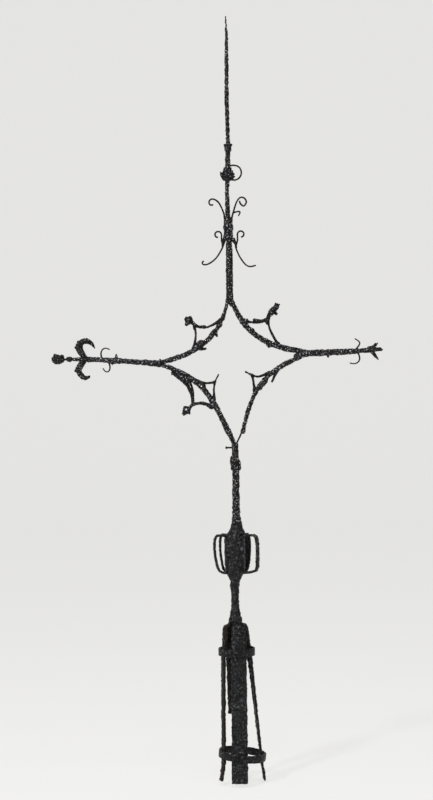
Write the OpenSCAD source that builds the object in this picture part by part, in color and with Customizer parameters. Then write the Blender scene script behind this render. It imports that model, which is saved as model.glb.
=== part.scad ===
// Wrought iron gable cross, forged by hand and painted black.
// Upright in the XZ plane, front towards -Y. The origin is the middle of the mouth of the
// strap socket, which is pushed down over a post.

/* [Overall] */
// Height from the mouth of the socket to the tip of the spike
height = 2030; // [1950:1:2600]
// From the upright axis to the end of the left arm
left_reach = 477; // [430:1:640]
// From the upright axis to the end of the broken right arm
right_reach = 399; // [370:1:560]

/* [Post socket] */
// Height of the shoulder, where the four straps spread from the neck
shoulder_z = 424; // [380:1:520]
// Width of a strap
strap_w = 40; // [28:1:44]
// Thickness of a strap
strap_t = 5.5; // [4:0.5:7]
// Outer diameter of the upper hoop
hoop_top_d = 96; // [88:1:120]
// Outer diameter of the lower hoop
hoop_low_d = 125; // [110:1:150]
// Height of the iron that the hoops are bent from
hoop_h = 20; // [12:1:30]
// Thickness of the hoops
hoop_t = 4; // [3:0.5:8]
// Middle height of the upper hoop
hoop_top_z = 346; // [320:1:370]
// Middle height of the lower hoop
hoop_low_z = 72; // [50:1:120]
// Height of the broken end of the back strap
back_break_z = 173; // [120:1:300]

/* [Knob and handles] */
// Length of the neck, from the shoulder to the foot of the knob
neck_l = 103; // [80:1:130]
// Thickness of the neck
neck_d = 20; // [16:1:26]
// Diameter of the knob
knob_d = 54; // [46:1:66]
// Height of the knob, with its flared top
knob_h = 157; // [145:1:190]
// From the axis to the outside of a handle
handle_reach = 57; // [52:1:72]
// Height of a handle
handle_h = 98; // [84:1:110]
// Width of the strip that a handle is bent from
handle_w = 13; // [8:1:20]
// Thickness of that strip
handle_t = 5; // [3:0.5:6]

/* [Shaft] */
// Length of the shaft between the knob and the foot of the diamond
shaft_l = 213; // [190:1:280]
// Thickness of the shaft at its top
shaft_top_d = 17.5; // [14:0.5:21]
// Thickness of the shaft above the knob
shaft_low_d = 21; // [19:0.5:26]
// Height of the middle of the collar above the knob
collar_up = 155; // [80:1:170]
// Height of the collar
collar_h = 28; // [16:1:40]
// How far the collar stands out from the shaft
collar_out = 4; // [2:0.5:6]

/* [Diamond] */
// Height of the diamond, from the shaft to the crotch of the mast
diamond_h = 386; // [350:1:470]
// Height of the left fork above the foot of the diamond
left_fork_up = 215; // [190:1:260]
// Height of the right fork above the foot of the diamond
right_fork_up = 235; // [190:1:260]
// From the axis to the left fork
left_fork = 187; // [165:1:225]
// From the axis to the right fork
right_fork = 200; // [165:1:240]
// Thickness of the four curved bars
bar_d = 14; // [11:0.5:16]
// Thickness of the tendrils at their roots
tendril_d = 7; // [5:0.5:8]
// Size of the buds
bud_d = 22; // [16:1:28]

/* [Arms] */
// Thickness of the arms
arm_d = 14.5; // [11:0.5:16]
// Diameter of the bud that ends the left arm
end_bud_d = 26; // [22:1:34]
// Height of the upper leaf above the arm
leaf_h = 54; // [44:1:66]
// Length of the longest petal of the broken flower on the right arm
petal_l = 22; // [16:1:28]

/* [Mast] */
// Thickness of the mast at the crotch
mast_d = 18; // [14:0.5:20]
// Thickness of the spike above the knop
spike_d = 10.5; // [8:0.5:13]
// Length of the drawn point
point_l = 110; // [60:1:160]
// Height of the middle of the scroll binding above the crotch
binding_up = 182; // [160:1:220]
// Height of the scroll binding
binding_h = 58; // [40:1:70]
// Height of the flower above the crotch
flower_up = 328; // [300:1:350]
// Height of the knop above the crotch
knop_up = 398; // [380:1:420]
// Thickness of the wire of the scrolls
wire_d = 4; // [3:0.2:4.8]

/* [Fit] */
// Gap left between pieces that are forged or driven together
joint_gap = 0.25; // [0.1:0.05:0.4]

/* [Hidden] */

iron = "#17181b";
worn_iron = "#2a2420";
fine = 64;            // sides of a drawn circle, true in the solids
bar_sides = 8;        // flats hammered along a bar
wire_sides = 6;       // flats along a tendril or a wire
bar_steps = 16;       // rings along a curved bar
tendril_steps = 8;    // rings along a tendril
curl_steps = 3;       // rings between two turning points of a scroll
lead = 2;             // straight start of a bar where its end is squared to its neighbour

// Heights of the joints up the axis
knob_foot_z = shoulder_z + neck_l;
knob_top_z = knob_foot_z + knob_h;
shaft_top_z = knob_top_z + shaft_l;
crotch_z = shaft_top_z + diamond_h;
left_fork_z = shaft_top_z + left_fork_up;
right_fork_z = shaft_top_z + right_fork_up;

// The upright is bent a little: the sideways drift of its axis at each joint
neck_x = -4;
knob_x = -2.4;
shaft_x = 4;
crotch_x = -2.6;
hoop_top_x = -2.5;
hoop_low_x = 7;

// ---- Paths. A station of a path is [x, z, radius]. ----

function mix(a, b, t) = a + (b - a) * t;
function polar(a, d) = [d * cos(a), d * sin(a), 0];

// A curve from a to b that leaves a at angle out_a and comes into b from angle in_a
function sweep_at(a, out_a, out_l, b, in_a, in_l, t) =
  let (c = a + polar(out_a, out_l), d = b + polar(in_a, in_l), s = 1 - t)
    s * s * s * a + 3 * s * s * t * c + 3 * s * t * t * d + t * t * t * b;
function sweep(a, out_a, out_l, b, in_a, in_l, steps) =
  [for (i = [0:steps]) sweep_at(a, out_a, out_l, b, in_a, in_l, i / steps)];

// A smooth curve through a few stations
function through_at(k, i, t) =
  let (
    b = k[i],
    c = k[i + 1],
    a = i > 0 ? k[i - 1] : 2 * b - c,
    d = i + 2 < len(k) ? k[i + 2] : 2 * c - b
  ) 0.5 * (2 * b + (c - a) * t + (2 * a - 5 * b + 4 * c - d) * t * t
    + (3 * b - a - 3 * c + d) * t * t * t);
function through(k, steps) =
  [for (i = [0:len(k) - 2], j = [0:steps - 1]) through_at(k, i, j / steps), k[len(k) - 1]];

// A spiral round a centre, from radius r0 at angle a0 to radius r1 at angle a1
function spiral(c, r0, a0, r1, a1, steps) =
  [for (i = [0:steps]) let (t = i / steps) c + polar(mix(a0, a1, t), mix(r0, r1, t))];

function swell(path, extra) = [for (p = path) p + [0, 0, extra]];
function part_of(path, from, to) = [for (i = [from:to]) path[i]];

// ---- Solids from paths ----

function heading(path, i) =
  let (a = path[max(i - 1, 0)], b = path[min(i + 1, len(path) - 1)], d = [b.x - a.x, b.y - a.y])
    d / norm(d);

// A bar or wire along a path in the plane of the cross. flat is its depth over its width.
module bar(path, sides = bar_sides, flat = 1) {
  last = len(path) - 1;
  points = [
    for (i = [0:last]) let (h = heading(path, i), r = path[i][2]) for (j = [0:sides - 1])
      let (a = 360 * j / sides, across = r * cos(a), deep = r * flat * sin(a))
        [path[i].x - h.y * across, deep, path[i].y + h.x * across]
  ];
  walls = [
    for (i = [0:last - 1], j = [0:sides - 1])
      let (a = i * sides + j, b = i * sides + (j + 1) % sides)
        each [[a, b, b + sides], [a, b + sides, a + sides]]
  ];
  start = [for (j = [sides - 1:-1:0]) j];
  end = [for (j = [0:sides - 1]) last * sides + j];
  polyhedron(points = points, faces = concat(walls, [start, end]), convexity = 8);
}

// Something forged onto a bar: its root is shaped to the bar, a joint gap away
module on_bar(parent, from, to, sides = bar_sides) {
  difference() {
    children();
    bar(swell(part_of(parent, max(from, 0), min(to, len(parent) - 1)), joint_gap), sides = sides);
  }
}

// ---- The mast ----

binding_z = crotch_z + binding_up;
flower_z = crotch_z + flower_up;
knop_z = crotch_z + knop_up;
flower_h = 34;
knop_h = 18;
mast_r = mast_d / 2;
spike_r = spike_d / 2;
waist_r = spike_r * 1.15;  // the mast between its binding and its flower
point_r = 1;               // the blunted tip

mast_path = [
  [crotch_x, crotch_z, mast_r],
  [-1.7, crotch_z + 48, mast_r * 1.02],
  [-0.9, crotch_z + 113, mast_r],
  [-1.5, binding_z - binding_h / 2, waist_r * 1.15],
  [-2.6, binding_z + binding_h / 2, waist_r * 1.1],
  [-3.2, crotch_z + 250, waist_r],
  [-3.6, crotch_z + 290, spike_r],
  [-2.2, flower_z - flower_h / 2, spike_r * 1.2],
  [-0.6, flower_z + flower_h / 2, spike_r * 1.35],
  [0.6, knop_z - knop_h / 2, spike_r * 1.2],
  [1.5, knop_z + knop_h / 2, spike_r],
  [0.2, mix(knop_z, height - point_l, 0.5), spike_r],
  [2.2, height - point_l, spike_r * 0.95],
  [3.4, height - point_l * 0.5, spike_r * 0.72],
  [1.9, height, point_r]
];
binding_x = -2;
flower_x = -1.4;
knop_x = 1;
// Bores of the pieces that the mast passes through. The mast isn't quite straight in them.
bend_room = 0.6;
sleeve_r = waist_r * 1.15 + joint_gap + bend_room;
crown_r = spike_r * 1.35 + joint_gap + bend_room;
knop_bore_r = spike_r * 1.2 + joint_gap + bend_room;

module mast() color(iron) bar(mast_path);

// A little calyx with flared lips, left of a bud that has gone
module mast_knop() color(iron) translate([knop_x, 0, knop_z]) difference() {
  rotate_extrude($fn = fine) polygon([
    [0, -knop_h / 2], [knop_bore_r + 1.6, -knop_h / 2], [knop_bore_r + 1, 0],
    [knop_bore_r + 4, knop_h / 2 - 2], [knop_bore_r + 3, knop_h / 2], [0, knop_h / 2 - 3]
  ]);
  translate([0, 0, -knop_h]) cylinder(r = knop_bore_r, h = 2 * knop_h, $fn = fine);
}

// Ragged leaves wrapped round the mast
leaf_turns = [20, 95, 160, 215, 290];
module mast_flower() color(iron) translate([flower_x, 0, flower_z]) difference() {
  union() {
    rotate_extrude($fn = fine) polygon([
      [0, -flower_h / 2], [crown_r + 1.5, -flower_h / 2], [crown_r + 4, -2],
      [crown_r + 2, flower_h / 2], [0, flower_h / 2]
    ]);
    for (i = [0:len(leaf_turns) - 1])
      rotate([90, 0, leaf_turns[i]]) translate([0, 0, -3.5]) linear_extrude(7) polygon([
        [crown_r, -12], [crown_r + 8, -4], [crown_r + 12 + 2 * (i % 2), 1 + 3 * (i % 3)],
        [crown_r + 7, 4], [crown_r + 2, 11], [crown_r, 12]
      ]);
  }
  translate([0, 0, -flower_h]) cylinder(r = crown_r, h = 2 * flower_h, $fn = fine);
}

// A wire loop that is left of a third scroll, beside the flower
loop_top_z = flower_z + 22;
loop_root_x = spike_r;
loop_path = sweep(
  [loop_root_x, loop_top_z, wire_d / 2], 13, 41,
  [crown_r + 3, flower_z - 16, wire_d / 2], -9, 33, 12
);
module mast_loop() color(worn_iron) difference() {
  bar(loop_path, sides = wire_sides);
  bar(swell(part_of(mast_path, 6, 10), joint_gap));
  translate([flower_x, 0, flower_z - flower_h / 2 - joint_gap])
    cylinder(r = crown_r + 4 + joint_gap, h = flower_h + 2 * joint_gap, $fn = fine);
}

// Twisted strips that bind the scrolls to the mast
module scroll_binding() color(iron) translate([binding_x, 0, binding_z]) difference() {
  rotate_extrude($fn = fine) polygon([
    [0, -binding_h / 2], [sleeve_r + 3.5, -binding_h / 2], [sleeve_r + 5, -binding_h * 0.3],
    [sleeve_r + 3.2, -binding_h * 0.1], [sleeve_r + 5.5, binding_h * 0.12],
    [sleeve_r + 3.4, binding_h * 0.3], [sleeve_r + 4.2, binding_h / 2], [0, binding_h / 2]
  ]);
  translate([0, 0, -binding_h]) cylinder(r = sleeve_r, h = 2 * binding_h, $fn = fine);
}

// The four scrolls stand on the ends of the binding
scroll_top_z = binding_z + binding_h / 2 + joint_gap;
scroll_low_z = binding_z - binding_h / 2 - joint_gap;
scroll_root = sleeve_r + 1.9;
wire_r = wire_d / 2;

module wire(path) color(worn_iron) bar(path, sides = wire_sides);
// A wire that stands square on the end of the binding; up is 1 above it and -1 below it
function standing(x, up, keys) =
  let (z = up > 0 ? scroll_top_z : scroll_low_z, root = [x, z, wire_r * 1.2])
    concat([root], through(concat([root + [0, up * lead / 2, 0]],
      [for (k = keys) [k.x, z + k.y, wire_r]]), curl_steps));

left_root_x = binding_x - scroll_root;
right_root_x = binding_x + scroll_root;
module mast_scroll_upper_left() wire(standing(left_root_x, 1, [
  [left_root_x - 2, 14], [-24, 38], [-35, 49], [-46, 51], [-52, 44], [-49, 36], [-41, 36]
]));

upper_right_wire = standing(right_root_x, 1, [
  [right_root_x + 5, 18], [21, 42], [31, 54], [42, 52], [47, 42], [40, 31], [31, 38], [29, 45]
]);
module mast_scroll_upper_right() wire(upper_right_wire);

lower_left_wire = standing(left_root_x, -1, [
  [-15, -10], [-22, -26], [-37, -48], [-57, -62], [-70, -63], [-73, -58], [-69, -54]
]);
module mast_scroll_lower_left() wire(lower_left_wire);

lower_right_wire = standing(right_root_x, -1, [
  [16, -12], [18, -24], [27, -45], [41, -65], [54, -71], [69, -68]
]);
module mast_scroll_lower_right() wire(lower_right_wire);

// Small curls that branch from the lower scrolls and rise beside the binding
curl_r = 9.5;
module curl(side, c, trunk) color(worn_iron) on_bar(trunk, 0, 9, wire_sides) bar(concat(
  through([trunk[5], c + [side * -curl_r, -17, 0], c + [side * -curl_r, 0, 0]], 2),
  part_of(spiral(c, curl_r, side > 0 ? 180 : 0, curl_r * 0.75, side > 0 ? -90 : 270, 9), 1, 9)
), sides = wire_sides);
module mast_curl_left() curl(-1, [-30, scroll_low_z + 15, wire_r], lower_left_wire);
module mast_curl_right() curl(1, [31, scroll_low_z + 15, wire_r], lower_right_wire);

// A broken thorn on the outside of the upper right scroll
module mast_twig() color(worn_iron) on_bar(upper_right_wire, 0, 7, wire_sides) bar(through([
  [right_root_x + 3.5, scroll_top_z + 14, wire_r],
  [24, scroll_top_z + 17, wire_r], [30, scroll_top_z + 15, wire_r], [25, scroll_top_z + 5, wire_r * 0.7]
], 2), sides = wire_sides);

// ---- The diamond ----

bar_r = bar_d / 2;
tendril_r = tendril_d / 2;
tip_r = tendril_r * 0.75;

// A bar is drawn down at both ends: from r0, through r1 and r2, to r3
function forged(path, r0, r1, r2, r3) =
  [for (i = [0:len(path) - 1]) let (t = i / (len(path) - 1))
    [path[i].x, path[i].y, t < 0.2 ? mix(r0, r1, t / 0.2)
      : t > 0.85 ? mix(r2, r3, (t - 0.85) / 0.15) : mix(r1, r2, (t - 0.2) / 0.65)]];

// The course of a bar between two ends that are squared to what they meet
function course(a, lead_a, out_a, out_l, b, lead_b, in_a, in_l) = concat(
  [a],
  sweep(a + polar(lead_a, lead), out_a, out_l, b + polar(lead_b, lead), in_a, in_l, bar_steps),
  [b]
);

crotch_split = mast_r * 0.52;
// Each bar is drawn thinner where it joins its neighbour, and stays on its own side
split_r = min(bar_r * 0.62, crotch_split - joint_gap);
fork_split = 4.3;     // half the distance between the two bars at a fork
fork_r = 4;

upper_left_path = forged(course(
  [crotch_x - crotch_split, crotch_z - joint_gap, 0], -90, -100, 100,
  [-left_fork, left_fork_z + fork_split, 0], 0, 12, 102
), split_r, bar_r * 0.74, bar_r, fork_r);
upper_right_path = forged(course(
  [crotch_x + crotch_split, crotch_z - joint_gap, 0], -90, -74, 110,
  [right_fork, right_fork_z + fork_split, 0], 180, 174, 83
), split_r, bar_r * 1.05, bar_r * 1.1, fork_r);
lower_left_path = forged(course(
  [-left_fork, left_fork_z - fork_split, 0], 0, -17, 124,
  [shaft_x - 2.4, shaft_top_z + joint_gap, 0], 90, 116, 124
), fork_r, bar_r, bar_r * 1.1, 5.2);
// The lower right bar has cracked away from the shaft and hangs by a thin link
crack = [21, 30];
lower_right_path = forged(course(
  [right_fork, right_fork_z - fork_split, 0], 180, -162, 127,
  [shaft_x + crack.x, shaft_top_z + crack.y, 0], 76, 76, 109
), fork_r, bar_r * 0.95, bar_r * 0.8, bar_r * 0.72);

module bar_upper_left() color(iron) bar(upper_left_path);
module bar_upper_right() color(iron) bar(upper_right_path);
module bar_lower_left() color(iron) bar(lower_left_path);
module bar_lower_right() color(iron) bar(lower_right_path);

link_r = 2;
link_foot = [shaft_x + 5.2, shaft_top_z + joint_gap, link_r];
link_path = concat(through([
  [shaft_x + crack.x - 1, shaft_top_z + crack.y + 3, link_r],
  [shaft_x + 13, shaft_top_z + 17, link_r],
  link_foot + [0, lead, 0]
], 3), [link_foot]);
module bar_link() color(worn_iron) on_bar(lower_right_path, bar_steps - 3, bar_steps + 2)
  bar(link_path, sides = wire_sides);

// A tendril from station i of a bar: it leaves at one angle, and comes into its end from another
function tendril_path(parent, i, out_a, out_l, end, in_a, in_l, r1 = tip_r) =
  sweep([parent[i].x, parent[i].y, tendril_r], out_a, out_l, [end.x, end.y, r1], in_a, in_l,
    tendril_steps);
module tendril(parent, i, path) color(iron)
  on_bar(parent, i - 3, i + 5) bar(path, sides = wire_sides);

// Where the two tendrils of an outer corner meet, in the hollow of their bar
mid_bar = bar_steps / 2 + 1;
function corner(path, dx, dz) = [path[mid_bar].x + dx, path[mid_bar].y + dz];
corner_ul = corner(upper_left_path, -33, 47);
corner_ur = corner(upper_right_path, 17.5, 53);
corner_ll = corner(lower_left_path, -37, -28);
beside = 6.6;   // the outer tendril is welded beside the end of the inner one

module tendril_upper_left_inner() tendril(upper_left_path, 4,
  tendril_path(upper_left_path, 4, -140, 30, corner_ul, -50, 32));
module tendril_upper_left_outer() tendril(upper_left_path, 12,
  tendril_path(upper_left_path, 12, 75, 22, corner_ul + [-0.5, -beside], -62, 22));
module tendril_upper_right_inner() tendril(upper_right_path, 4,
  tendril_path(upper_right_path, 4, -35, 24, corner_ur, -140, 24));
module tendril_upper_right_outer() tendril(upper_right_path, 13,
  tendril_path(upper_right_path, 13, 174, 12, corner_ur + [2, -beside], -108, 18));
module tendril_lower_left_outer() tendril(lower_left_path, 3,
  tendril_path(lower_left_path, 3, -30, 50, corner_ll, 85, 32));
module tendril_lower_left_inner() tendril(lower_left_path, 12,
  tendril_path(lower_left_path, 12, 152, 26, corner_ll + [beside, -1], 37, 21));

// Closed buds that stand on the meeting of two tendrils. A profile is [along, share of radius].
round_bud = [[0, 0.2], [4, 0.3], [7, 0.75], [11, 1], [16, 1], [20, 0.85], [24, 0.5], [26, 0.2]];
stalked_bud = [
  [0, 0.2], [8, 0.2], [13, 0.32], [16, 0.8], [20, 1], [26, 0.95], [31, 0.75], [35, 0.35], [39, 0.15]
];
long_bud = [[0, 0.2], [7, 0.3], [14, 0.5], [22, 0.56], [30, 0.6], [37, 0.66], [41, 0.5]];
bud_gap = joint_gap + 0.65;   // its foot isn't quite square to the tendril
module bud(at, a, profile) color(iron) bar(
  [for (p = profile) [at.x, at.y, 0] + polar(a, p.x * bud_d / 22 + bud_gap) + [0, 0, p.y * bud_d / 2]],
  flat = 0.9
);
module bud_upper_left() bud(corner_ul, 148, round_bud);
module bud_upper_right() bud(corner_ur, 53, long_bud);
module bud_lower_left() bud(corner_ll, -138, stalked_bud);

// Bare twigs inside the diamond, whose buds have broken away. One of each pair meets the other.
lower_left_twig = tendril_path(lower_left_path, 11, 80, 30, lower_left_path[11] + [15, 77, 0], -122, 41,
  tip_r * 0.6);
lower_right_twig = tendril_path(lower_right_path, 6, -168, 45, lower_right_path[6] + [-75, 1, 0], -29, 51,
  tip_r * 0.7);
module twig_lower_left_lower() tendril(lower_left_path, 11, lower_left_twig);
module twig_lower_left_upper() on_bar(lower_left_twig, 2, tendril_steps, wire_sides)
  tendril(lower_left_path, 5,
    tendril_path(lower_left_path, 5, -30, 34, lower_left_path[5] + [66, -15, 0], -168, 25));
module twig_lower_right_upper() tendril(lower_right_path, 6, lower_right_twig);
module twig_lower_right_lower() on_bar(lower_right_twig, 3, tendril_steps, wire_sides)
  tendril(lower_right_path, 11,
    tendril_path(lower_right_path, 11, 100, 17, lower_right_path[11] + [-8, 51, 0], -70, 17));
module stub_lower_right() tendril(lower_right_path, 5,
  tendril_path(lower_right_path, 5, -120, 10, lower_right_path[5] + [-19, -38, 0], 65, 10));
module stub_upper_left() tendril(upper_left_path, 11,
  tendril_path(upper_left_path, 11, -20, 10, upper_left_path[11] + [23, -2, 0], -160, 6));

// ---- The left arm ----

arm_r = arm_d / 2;
end_bud_l = 32;
leaf_x = -left_reach + 92;      // root of the two leaves
scroll_x = -left_reach + 140;   // root of the two wire scrolls
nub_x = -left_reach + 160;      // swelling where leaves have broken away
bead_x = -left_reach + 47;
arm_end_x = -left_reach + end_bud_l + joint_gap;
arm_line_z = left_fork_z + 15;
tip_line_z = left_fork_z + 16.7;
left_arm_path = concat([[-left_fork - joint_gap, left_fork_z, arm_r * 1.3]], through([
  [-left_fork - joint_gap - lead, left_fork_z, arm_r * 1.3],
  [mix(-left_fork, nub_x, 0.4), left_fork_z + 5, arm_r],
  [mix(-left_fork, nub_x, 0.8), left_fork_z + 9, arm_r * 0.95],
  [nub_x, left_fork_z + 10.5, arm_r * 1.2],
  [scroll_x - 6, left_fork_z + 13.5, arm_r * 0.85],
  [leaf_x, arm_line_z, arm_r],
  [bead_x + 8, tip_line_z, arm_r * 0.55],
  [arm_end_x, tip_line_z, arm_r * 0.45]
], 2));

module left_arm() color(iron) bar(left_arm_path);

// Crescent leaves that curl back over the arm, as [along, up, half width] in shares of their height
upper_leaf = [
  [0, 0.04, 0.11], [-0.2, 0.26, 0.15], [-0.35, 0.56, 0.195], [-0.27, 0.81, 0.167],
  [-0.065, 0.9, 0.143], [0.15, 0.86, 0.133], [0.305, 0.74, 0.083], [0.425, 0.53, 0.02]
];
lower_leaf = [
  [-0.055, -0.04, 0.1], [-0.22, -0.2, 0.15], [-0.385, -0.44, 0.168], [-0.345, -0.67, 0.145],
  [-0.22, -0.8, 0.125], [-0.1, -0.87, 0.095], [0.04, -0.85, 0.06], [0.165, -0.8, 0.02]
];
module leaf(outline) color(iron) on_bar(left_arm_path, 9, 13) bar(
  through([for (p = outline) [leaf_x + p.x * leaf_h, arm_line_z + p.y * leaf_h, p[2] * leaf_h]], 2),
  flat = 0.55
);
module left_leaf_upper() leaf(upper_leaf);
module left_leaf_lower() leaf(lower_leaf);

module left_arm_scroll_upper() color(worn_iron) on_bar(left_arm_path, 7, 11) bar(sweep(
  [scroll_x - 5, arm_line_z - 1, wire_r], 118, 26,
  [scroll_x + 14, arm_line_z + 25, wire_r * 0.7], 142, 19, tendril_steps
), sides = wire_sides);
module left_arm_scroll_lower() color(worn_iron) on_bar(left_arm_path, 5, 11) bar(sweep(
  [scroll_x + 7, arm_line_z - 4, wire_r], -46, 24,
  [scroll_x - 5, arm_line_z - 24, wire_r * 0.7], -63, 28, tendril_steps
), sides = wire_sides);

bead_r = 6.5;
module left_arm_bead() color(iron) difference() {
  translate([bead_x, 0, tip_line_z]) rotate([0, 90, 0]) rotate_extrude($fn = fine)
    polygon([[0, -6], [4.5, -6], [bead_r, -2.5], [bead_r, 2.5], [4.5, 6], [0, 6]]);
  translate([bead_x - 9, 0, tip_line_z]) rotate([0, 90, 0])
    cylinder(r = arm_r * 0.55 + joint_gap, h = 18, $fn = fine);
}

// A blunt, lumpy bud with a shallow dimple in its end
end_bud_r = end_bud_d / 2;
module left_end_bud() color(iron) translate([-left_reach, 0, tip_line_z])
  rotate([0, 90, 0]) rotate_extrude($fn = fine) polygon([
    [0, 0], [end_bud_r * 0.35, 0], [end_bud_r * 0.75, 5], [end_bud_r * 0.97, 12],
    [end_bud_r, 18], [end_bud_r * 0.8, 25], [end_bud_r * 0.42, 30],
    [end_bud_r * 0.32, end_bud_l], [0, end_bud_l]
  ]);

// ---- The right arm ----

cup_l = 16;
flower_x_root = right_reach - 40;
flower_line_z = right_fork_z + 4;
right_arm_path = concat([[right_fork + joint_gap, right_fork_z, arm_r * 1.28]], through([
  [right_fork + joint_gap + lead, right_fork_z, arm_r * 1.28],
  [mix(right_fork, flower_x_root, 0.4), right_fork_z + 1, arm_r * 1.15],
  [mix(right_fork, flower_x_root, 0.75), right_fork_z + 2.5, arm_r * 1.05],
  [flower_x_root - 14, flower_line_z, arm_r * 0.85],
  [flower_x_root - joint_gap, flower_line_z, arm_r * 0.85]
], 2));
module right_arm() color(iron) bar(right_arm_path);

module right_arm_scroll_upper() color(worn_iron) on_bar(right_arm_path, 3, 8) bar(sweep(
  [flower_x_root - 33, right_fork_z + 4, wire_r], 50, 24,
  [flower_x_root - 32, right_fork_z + 36, wire_r * 0.7], -28, 23, tendril_steps
), sides = wire_sides);
module right_arm_scroll_lower() color(worn_iron) on_bar(right_arm_path, 3, 8) bar(sweep(
  [flower_x_root - 26, right_fork_z + 1, wire_r], -56, 27,
  [flower_x_root - 46, right_fork_z - 28, wire_r * 0.7], -22, 21, tendril_steps
), sides = wire_sides);

// What is left of the end flower: a cup with four torn petals, as [turn, share of the length]
petals = [[178, 0.92], [30, 1], [110, 0.7], [265, 0.55]];
module right_flower() color(iron) translate([flower_x_root, 0, flower_line_z]) rotate([0, 90, 0]) {
  rotate_extrude($fn = fine) polygon([
    [0, 0], [5.2, 0], [6, 5], [5.5, 9], [7.5, cup_l], [5, cup_l + 2], [0, cup_l - 2]
  ]);
  for (p = petals) rotate([0, 0, p[0]]) rotate([90, 0, 0]) translate([0, 0, -4.5])
    linear_extrude(9) polygon([
      [3, cup_l - 6], [7, cup_l - 3], [petal_l * p[1] - 2, cup_l + 4], [petal_l * p[1], cup_l + 9],
      [petal_l * p[1] - 4, cup_l + 10], [8, cup_l + 5], [3, cup_l + 1]
    ]);
  translate([0, 0, cup_l - 4])
    cylinder(r1 = 3.5, r2 = 1.5, h = right_reach - flower_x_root - cup_l + 4, $fn = fine);
}

// ---- The shaft ----

shaft_top_r = shaft_top_d / 2;
shaft_low_r = shaft_low_d / 2;
collar_z = knob_top_z + collar_up;
shaft_path = [
  [knob_x + 7, knob_top_z + joint_gap, shaft_low_r * 1.32],
  [knob_x + 7, knob_top_z + joint_gap + lead, shaft_low_r * 1.28],
  [knob_x + 6, knob_top_z + 12, shaft_low_r * 1.12],
  [shaft_x - 0.8, knob_top_z + 24, shaft_low_r],
  [shaft_x - 0.4, knob_top_z + 75, shaft_low_r * 0.92],
  [shaft_x + 0.6, collar_z - collar_h / 2, shaft_top_r * 1.05],
  [shaft_x + 0.6, collar_z + collar_h / 2, shaft_top_r * 1.03],
  [shaft_x, shaft_top_z - lead, shaft_top_r],
  [shaft_x, shaft_top_z, shaft_top_r]
];
module shaft() color(iron) bar(shaft_path);

collar_x = shaft_x + 0.6;
module shaft_collar() color(iron) translate([collar_x, 0, collar_z]) difference() {
  rotate_extrude($fn = fine) polygon([
    [0, -collar_h / 2], [shaft_top_r + collar_out - 1, -collar_h / 2],
    [shaft_top_r + collar_out + 1, -collar_h * 0.3], [shaft_top_r + collar_out - 0.5, -collar_h * 0.1],
    [shaft_top_r + collar_out + 1, collar_h * 0.25], [shaft_top_r + collar_out - 1, collar_h / 2],
    [0, collar_h / 2]
  ]);
  translate([0, 0, -collar_h]) cylinder(r = shaft_top_r * 1.05 + joint_gap, h = 2 * collar_h, $fn = fine);
}

// A bent nail left in the shaft, under the diamond
pin_z = shaft_top_z - 11;
pin_l = 14;
module shaft_pin() color(iron) translate([shaft_x - shaft_top_r - joint_gap, 0, pin_z])
  rotate([0, -90, 0]) {
    cylinder(d = wire_d, h = pin_l, $fn = fine);
    translate([0, 0, pin_l - 1]) cylinder(d = wire_d * 1.6, h = 3, $fn = fine);
  }

// ---- The knob ----

knob_r = knob_d / 2;
// Half outline of the knob: [height above its foot, share of its radius]
knob_outline = [
  [0, 0.39], [8, 0.5], [20, 0.72], [34, 0.92], [48, 1], [114, 1], [124, 0.94],
  [134, 0.82], [143, 0.64], [knob_h, 0.5]
];
function knob_r_at(z) = lookup(z - knob_foot_z, knob_outline) * knob_r;
module knob() color(iron) translate([knob_x, 0, knob_foot_z]) rotate_extrude($fn = fine)
  polygon(concat([[0, 0]], [for (p = knob_outline) [p[1] * knob_r, p[0]]], [[0, knob_h]]));

// The handles: strips bent round the knob, with both ends forged onto it
handle_top_z = knob_foot_z + 126;
handle_foot_z = handle_top_z - handle_h;
handle_bend = 9;
function against_knob(z) =
  max(knob_r_at(z - handle_t / 2), knob_r_at(z + handle_t / 2)) + joint_gap;

// tuck is how far in its foot is drawn
function handle_line(reach, tuck) = concat(
  [[against_knob(handle_top_z), handle_top_z, 0]],
  through([
    [against_knob(handle_top_z) + lead, handle_top_z, 0],
    [reach - handle_bend, handle_top_z + 1, 0],
    [reach - 2, handle_top_z - handle_bend, 0],
    [reach, handle_top_z - handle_h * 0.35, 0],
    [reach - tuck * 0.5, handle_top_z - handle_h * 0.7, 0],
    [reach - tuck - 3, handle_foot_z + 6, 0],
    [against_knob(handle_foot_z) + 6, handle_foot_z, 0],
    [against_knob(handle_foot_z) + lead, handle_foot_z, 0]
  ], 2),
  [[against_knob(handle_foot_z), handle_foot_z, 0]]
);
function side_of(line, off) =
  [for (i = [0:len(line) - 1]) let (h = heading(line, i)) [line[i].x - h.y * off, line[i].y + h.x * off]];
function turned_back(list) = [for (i = [len(list) - 1:-1:0]) list[i]];

module handle(turn, w, tuck = 9, reach = handle_reach - handle_t / 2) color(iron)
  translate([knob_x, 0, 0]) rotate([90, 0, turn]) translate([0, 0, -w / 2]) linear_extrude(w)
    polygon(concat(
      side_of(handle_line(reach, tuck), handle_t / 2),
      turned_back(side_of(handle_line(reach, tuck), -handle_t / 2))
    ));
module handle_left() handle(190, handle_w);
// This one has rusted down to a thin rod
module handle_back_left() handle(135, handle_w * 0.38);
module handle_back_right() handle(50, handle_w * 1.6);
module handle_right() handle(-20, handle_w * 1.35, 2, handle_reach + 7);

// ---- The neck and the socket ----

neck_r = neck_d / 2;
neck_foot_r = 18;
module neck() color(iron) translate([neck_x, 0, shoulder_z]) rotate_extrude($fn = fine) polygon([
  [0, 0], [neck_foot_r, 0], [neck_foot_r * 0.95, 8], [neck_foot_r * 0.78, 18], [neck_r * 1.15, 32],
  [neck_r, 50], [neck_r, neck_l - 18], [neck_r * 1.05, neck_l - joint_gap], [0, neck_l - joint_gap]
]);

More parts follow.
